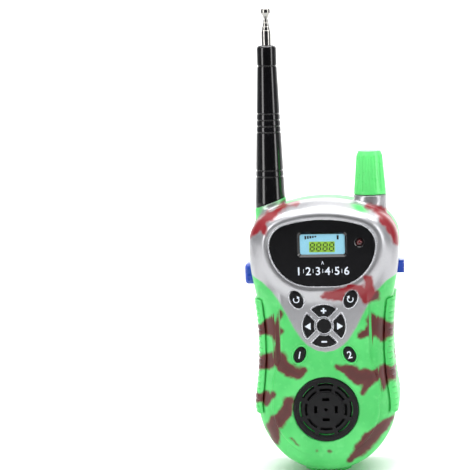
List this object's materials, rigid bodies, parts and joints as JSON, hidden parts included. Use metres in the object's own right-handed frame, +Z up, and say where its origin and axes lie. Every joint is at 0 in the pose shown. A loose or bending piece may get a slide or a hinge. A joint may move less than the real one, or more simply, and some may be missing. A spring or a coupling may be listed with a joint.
{
  "type": "toy walkie talkie",
  "caption": "Hand-held toy radio with a waisted two-part casing, display panel, keypad, round speaker grille, telescopic aerial, volume knob and side controls.",
  "frame": {"origin": "middle of the flat face of the foot pad, under the centre line of the casing and on the joint line of its two halves", "axes": "+Z up along the aerial; -Y is the side with the display, keys and speaker; +X is the side with the volume knob"},
  "size_m": [0.0843, 0.0511, 0.2452],
  "materials": {
    "casing_front": "moulded green, sprayed silver round the head, maroon splotches",
    "casing_rear": "moulded green with maroon splotches",
    "panel_black": "polished black",
    "display_print": "printed card",
    "light_red": "tinted clear lens",
    "key_black": "satin with white print",
    "membrane_grey": "silicone",
    "board_green": "solder resist",
    "component_black": "moulded resin",
    "steel": "zinc plated",
    "grille_black": "satin black",
    "speaker_tin": "pressed tin",
    "speaker_paper": "pressed paper",
    "magnet_grey": "ferrite",
    "boot_black": "polished black",
    "aerial_chrome": "bright plating",
    "brass": "bare",
    "knob_green": "light green, moulded",
    "pot_metal": "plain",
    "control_blue": "moulded blue",
    "switch_black": "moulded",
    "battery_wrap": "printed wrap, plain",
    "grip_green": "soft ribbed pad with maroon splotches",
    "foot_green": "soft slotted pad",
    "clip_green": "moulded green"
  },
  "bodies": {
    "body": {"front_casing": "casing_front", "rear_casing": "casing_rear", "display_panel": "panel_black", "display_card": "display_print", "status_led": "light_red", "keypad_membrane": "membrane_grey", "main_board": "board_green", "board_components": "component_black", "board_screws": "steel", "speaker_grille": "grille_black", "speaker_frame": "speaker_tin", "speaker_cone": "speaker_paper", "speaker_magnet": "magnet_grey", "antenna_boot": "boot_black", "antenna_tube_1": "aerial_chrome", "antenna_base": "brass", "antenna_bracket": "brass", "antenna_screws": "steel", "pot_body": "pot_metal", "pot_nut": "steel", "talk_switch": "switch_black", "switch_board": "board_green", "slide_switch": "steel", "battery": "battery_wrap", "battery_snap": "switch_black", "left_grip": "grip_green", "right_grip": "grip_green", "foot_pad": "foot_green", "belt_clip": "clip_green", "clip_screw": "steel", "casing_screws": "steel"},
    "volume_knob": {"volume_knob": "knob_green", "pot_shaft": "pot_metal"},
    "aerial_second": {"antenna_tube_2": "aerial_chrome"},
    "aerial_third": {"antenna_tube_3": "aerial_chrome"},
    "aerial_fourth": {"antenna_tube_4": "aerial_chrome"},
    "aerial_inner": {"antenna_rod": "aerial_chrome", "antenna_tip": "aerial_chrome"},
    "talk_button": {"talk_button": "control_blue", "talk_plunger": "switch_black"},
    "power_slider": {"power_slider": "control_blue"},
    "battery_door": {"battery_door": "casing_rear"},
    "key_rotate_left": {"key_rotate_left": "key_black"},
    "key_rotate_right": {"key_rotate_right": "key_black"},
    "key_plus": {"key_plus": "key_black"},
    "key_minus": {"key_minus": "key_black"},
    "key_left": {"key_left": "key_black"},
    "key_right": {"key_right": "key_black"},
    "key_centre": {"key_centre": "key_black"},
    "key_one": {"key_one": "key_black"},
    "key_two": {"key_two": "key_black"}
  },
  "joints": [
    {"name": "volume_knob_turn", "type": "hinge", "parent": "body", "child": "volume_knob", "pos_m": [0.0244, 0, 0.15], "axis": [0, 0, 1], "range_deg": [-280, 0]},
    {"name": "aerial_second_slide", "type": "slide", "parent": "body", "child": "aerial_second", "axis": [0, 0, 1], "range_m": [0, 0.1]},
    {"name": "aerial_third_slide", "type": "slide", "parent": "aerial_second", "child": "aerial_third", "axis": [0, 0, 1], "range_m": [0, 0.1]},
    {"name": "aerial_fourth_slide", "type": "slide", "parent": "aerial_third", "child": "aerial_fourth", "axis": [0, 0, 1], "range_m": [0, 0.1]},
    {"name": "aerial_inner_slide", "type": "slide", "parent": "aerial_fourth", "child": "aerial_inner", "axis": [0, 0, 1], "range_m": [0, 0.1]},
    {"name": "talk_button_press", "type": "slide", "parent": "body", "child": "talk_button", "axis": [1, 0, 0], "range_m": [0, 0.0018], "stiffness_N_per_m": 800},
    {"name": "power_slider_move", "type": "slide", "parent": "body", "child": "power_slider", "axis": [0, 0, -1], "range_m": [0, 0.003]},
    {"name": "key_rotate_left_press", "type": "slide", "parent": "body", "child": "key_rotate_left", "axis": [0, 1, 0], "range_m": [0, 0.0008], "stiffness_N_per_m": 900},
    {"name": "key_rotate_right_press", "type": "slide", "parent": "body", "child": "key_rotate_right", "axis": [0, 1, 0], "range_m": [0, 0.0008], "stiffness_N_per_m": 900},
    {"name": "key_plus_press", "type": "slide", "parent": "body", "child": "key_plus", "axis": [0, 1, 0], "range_m": [0, 0.0008], "stiffness_N_per_m": 900},
    {"name": "key_minus_press", "type": "slide", "parent": "body", "child": "key_minus", "axis": [0, 1, 0], "range_m": [0, 0.0008], "stiffness_N_per_m": 900},
    {"name": "key_left_press", "type": "slide", "parent": "body", "child": "key_left", "axis": [0, 1, 0], "range_m": [0, 0.0008], "stiffness_N_per_m": 900},
    {"name": "key_right_press", "type": "slide", "parent": "body", "child": "key_right", "axis": [0, 1, 0], "range_m": [0, 0.0008], "stiffness_N_per_m": 900},
    {"name": "key_centre_press", "type": "slide", "parent": "body", "child": "key_centre", "axis": [0, 1, 0], "range_m": [0, 0.0008], "stiffness_N_per_m": 900},
    {"name": "key_one_press", "type": "slide", "parent": "body", "child": "key_one", "axis": [0, 1, 0], "range_m": [0, 0.0008], "stiffness_N_per_m": 900},
    {"name": "key_two_press", "type": "slide", "parent": "body", "child": "key_two", "axis": [0, 1, 0], "range_m": [0, 0.0008], "stiffness_N_per_m": 900},
    {"name": "battery_door_slide", "type": "slide", "parent": "body", "child": "battery_door", "axis": [0, 0, -1], "range_m": [0, 0.062]}
  ]
}
